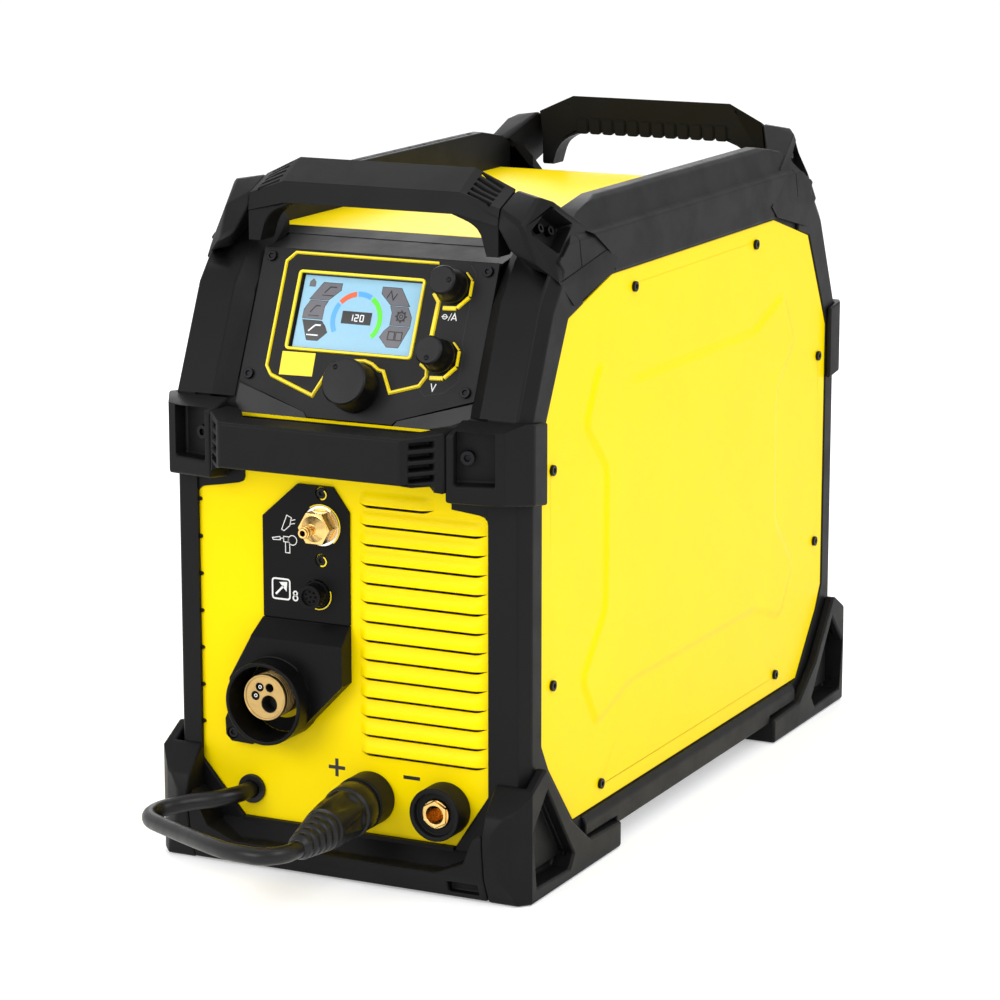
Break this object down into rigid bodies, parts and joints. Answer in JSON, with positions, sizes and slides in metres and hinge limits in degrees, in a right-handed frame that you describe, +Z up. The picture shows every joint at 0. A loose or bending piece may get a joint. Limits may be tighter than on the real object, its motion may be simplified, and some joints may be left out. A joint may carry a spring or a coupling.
{
  "type": "multi-process welding power source",
  "caption": "Portable inverter welding power source with a built-in wire feeder, carrying handles, bumpers, dials, torch connector and polarity lead.",
  "frame": {"origin": "on the floor under the middle of the machine", "axes": "+X to the right of someone facing the front, the front faces -Y, +Z up"},
  "size_m": [0.2933, 0.7729, 0.495],
  "materials": {
    "yellow_paint": "satin powder coat",
    "black_plastic": "fine grained",
    "steel": "zinc plated",
    "screw_black": "black oxide",
    "brass": "machined",
    "gloss_black": "smooth",
    "bezel_yellow": "smooth",
    "screen": "glossy",
    "cable_rubber": "matte",
    "alu": "extruded",
    "copper_wire": "drawn, copper coated",
    "core_steel": "varnished laminations",
    "board_green": "solder mask"
  },
  "bodies": {
    "machine": {"chassis_tray": "steel", "divider_wall": "steel", "front_panel": "yellow_paint", "rear_panel": "yellow_paint", "top_cover": "yellow_paint", "side_panel_right": "yellow_paint", "front_frame": "black_plastic", "rear_frame": "black_plastic", "feet": "black_plastic", "base_rails": "black_plastic", "bumper_front": "black_plastic", "bumper_rear": "black_plastic", "bumper_brackets": "black_plastic", "handle_front": "black_plastic", "handle_rear": "black_plastic", "handle_brackets": "black_plastic", "top_rail_right": "black_plastic", "top_rail_left": "black_plastic", "handle_cowls": "gloss_black", "bracket_screws": "screw_black", "cover_screws": "screw_black", "control_panel": "black_plastic", "rear_fascia": "black_plastic", "display_bezel": "bezel_yellow", "display_screen": "screen", "encoders": "steel", "connector_plate": "black_plastic", "torch_hood": "black_plastic", "gas_fittings": "brass", "remote_connector": "black_plastic", "torch_connector": "brass", "polarity_grommet": "cable_rubber", "polarity_lead": "cable_rubber", "polarity_plug": "cable_rubber", "output_sockets": "black_plastic", "socket_inserts": "brass", "door_hinge_rod": "steel", "feed_unit": "steel", "fan_shroud": "black_plastic", "mains_gland": "black_plastic", "heatsink": "alu", "transformer": "core_steel", "main_board": "board_green"},
    "main_shaft": {"encoder_shaft": "steel"},
    "main_dial": {"knob_main": "black_plastic"},
    "upper_dial": {"knob_upper": "black_plastic"},
    "lower_dial": {"knob_lower": "black_plastic"},
    "door": {"left_door": "yellow_paint", "door_rail": "black_plastic"},
    "front_latch": {"door_latch_front": "black_plastic"},
    "rear_latch": {"door_latch_rear": "black_plastic"},
    "lower_roll": {"drive_roll": "steel"},
    "arm": {"pressure_arm": "black_plastic"},
    "upper_roll": {"pressure_roll": "steel"},
    "tension": {"tension_knob": "black_plastic"},
    "spool": {"spool_hub": "black_plastic", "wire_spool": "black_plastic", "wire_winding": "copper_wire"},
    "fan": {"fan_rotor": "black_plastic"},
    "mains_switch": {"power_switch": "black_plastic"}
  },
  "joints": [
    {"name": "dial_push", "type": "slide", "parent": "machine", "child": "main_shaft", "axis": [0, 0.9121, -0.4099], "range_m": [0, 0.0012], "stiffness_N_per_m": 900, "springref_m": -0.001},
    {"name": "main_dial_turn", "type": "hinge", "parent": "main_shaft", "child": "main_dial", "pos_m": [0.001, -0.27474, 0.34436], "axis": [0, -0.9121, 0.4099], "continuous": true},
    {"name": "upper_dial_turn", "type": "hinge", "parent": "machine", "child": "upper_dial", "pos_m": [0.0605, -0.24334, 0.41422], "axis": [0, -0.9121, 0.4099], "continuous": true},
    {"name": "lower_dial_turn", "type": "hinge", "parent": "machine", "child": "lower_dial", "pos_m": [0.0605, -0.26363, 0.36907], "axis": [0, -0.9121, 0.4099], "continuous": true},
    {"name": "door_swing", "type": "hinge", "parent": "machine", "child": "door", "pos_m": [-0.121, 0, 0.4665], "axis": [0, 1, 0], "range_deg": [0, 100]},
    {"name": "front_latch_turn", "type": "hinge", "parent": "door", "child": "front_latch", "pos_m": [-0.137, -0.12, 0.065], "axis": [-1, 0, 0], "range_deg": [0, 90]},
    {"name": "rear_latch_turn", "type": "hinge", "parent": "door", "child": "rear_latch", "pos_m": [-0.137, 0.12, 0.065], "axis": [-1, 0, 0], "range_deg": [0, 90]},
    {"name": "drive_roll_spin", "type": "hinge", "parent": "machine", "child": "lower_roll", "pos_m": [-0.0515, -0.195, 0.1129], "axis": [1, 0, 0], "continuous": true},
    {"name": "arm_lift", "type": "hinge", "parent": "machine", "child": "arm", "pos_m": [-0.0515, -0.161, 0.1505], "axis": [-1, 0, 0], "range_deg": [0, 40]},
    {"name": "pressure_roll_spin", "type": "hinge", "parent": "arm", "child": "upper_roll", "pos_m": [-0.0515, -0.195, 0.1441], "axis": [1, 0, 0], "continuous": true},
    {"name": "tension_turn", "type": "hinge", "parent": "arm", "child": "tension", "pos_m": [-0.0395, -0.227, 0.1585], "axis": [0, 0, 1], "continuous": true},
    {"name": "spool_spin", "type": "hinge", "parent": "machine", "child": "spool", "pos_m": [-0.04, 0.07, 0.23], "axis": [1, 0, 0], "continuous": true},
    {"name": "fan_spin", "type": "hinge", "parent": "machine", "child": "fan", "pos_m": [0.07, 0.27, 0.2], "axis": [0, 1, 0], "continuous": true},
    {"name": "switch_turn", "type": "hinge", "parent": "machine", "child": "mains_switch", "pos_m": [-0.062, 0.29, 0.27], "axis": [0, 1, 0], "range_deg": [0, 90]}
  ],
  "couplings": [
    {"joint": "pressure_roll_spin", "follows": "drive_roll_spin", "ratio": -1}
  ]
}
